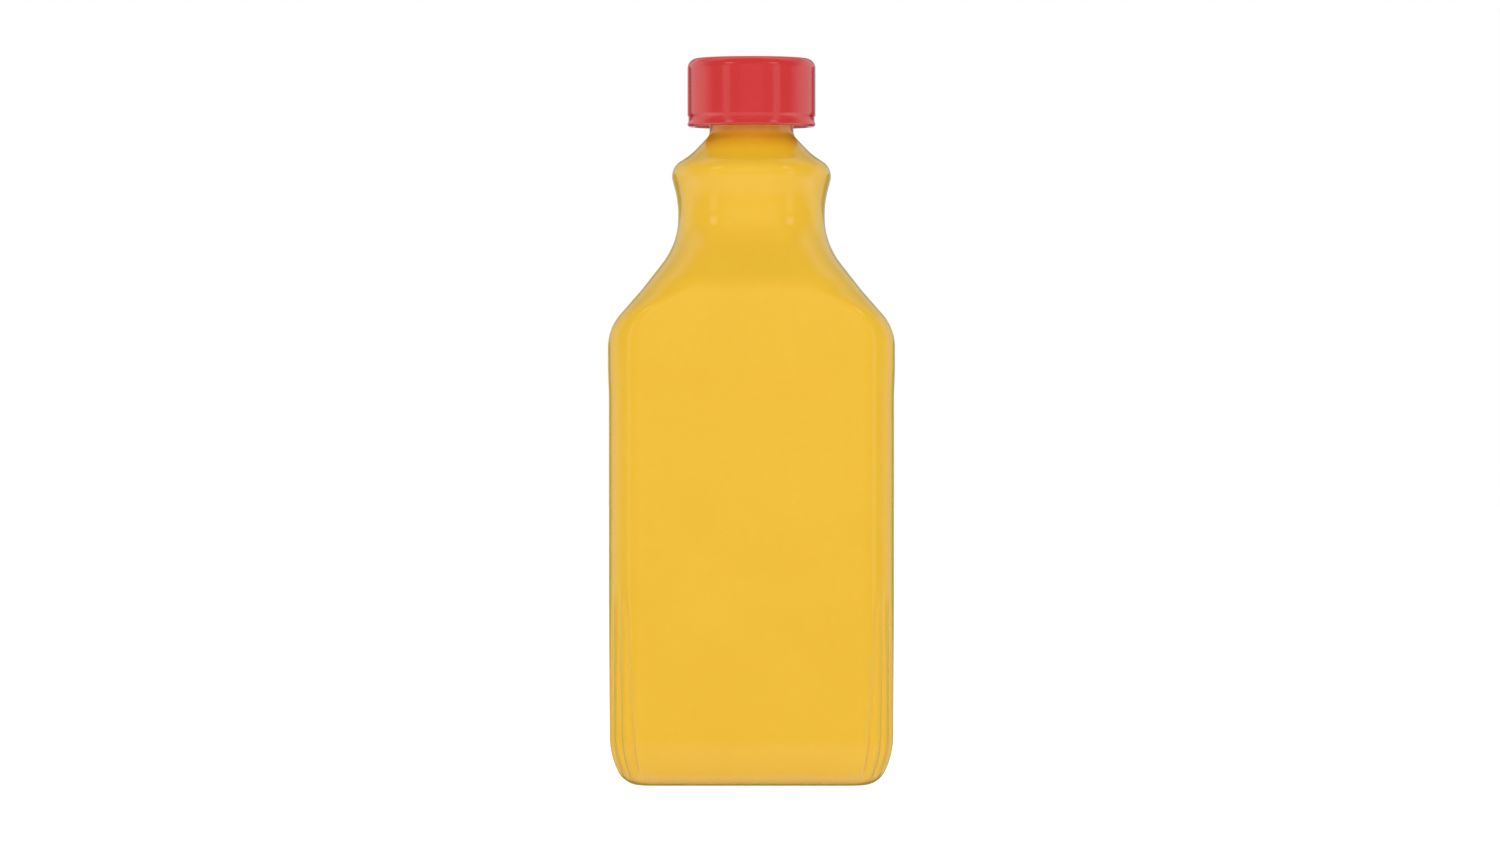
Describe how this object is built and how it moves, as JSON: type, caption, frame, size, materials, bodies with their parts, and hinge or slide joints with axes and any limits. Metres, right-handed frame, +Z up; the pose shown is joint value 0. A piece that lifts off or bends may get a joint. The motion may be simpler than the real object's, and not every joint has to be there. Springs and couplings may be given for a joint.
{
  "type": "juice bottle",
  "caption": "Clear flat-fronted juice bottle with an arched shoulder, waisted neck and fluted lower corners, full of yellow juice, shut by a smooth red screw cap.",
  "frame": {"origin": "middle of the bottle's base, on the surface it stands on", "axes": "+Z up along the bottle's middle line, the flat front facing -Y, +X across the wide front"},
  "size_m": [0.09, 0.0662, 0.2291],
  "materials": {
    "clear_plastic": "gloss",
    "juice": "satin",
    "cap_plastic": "gloss"
  },
  "bodies": {
    "root": {"bottle": "clear_plastic", "juice": "juice", "cap": "cap_plastic"}
  },
  "joints": []
}
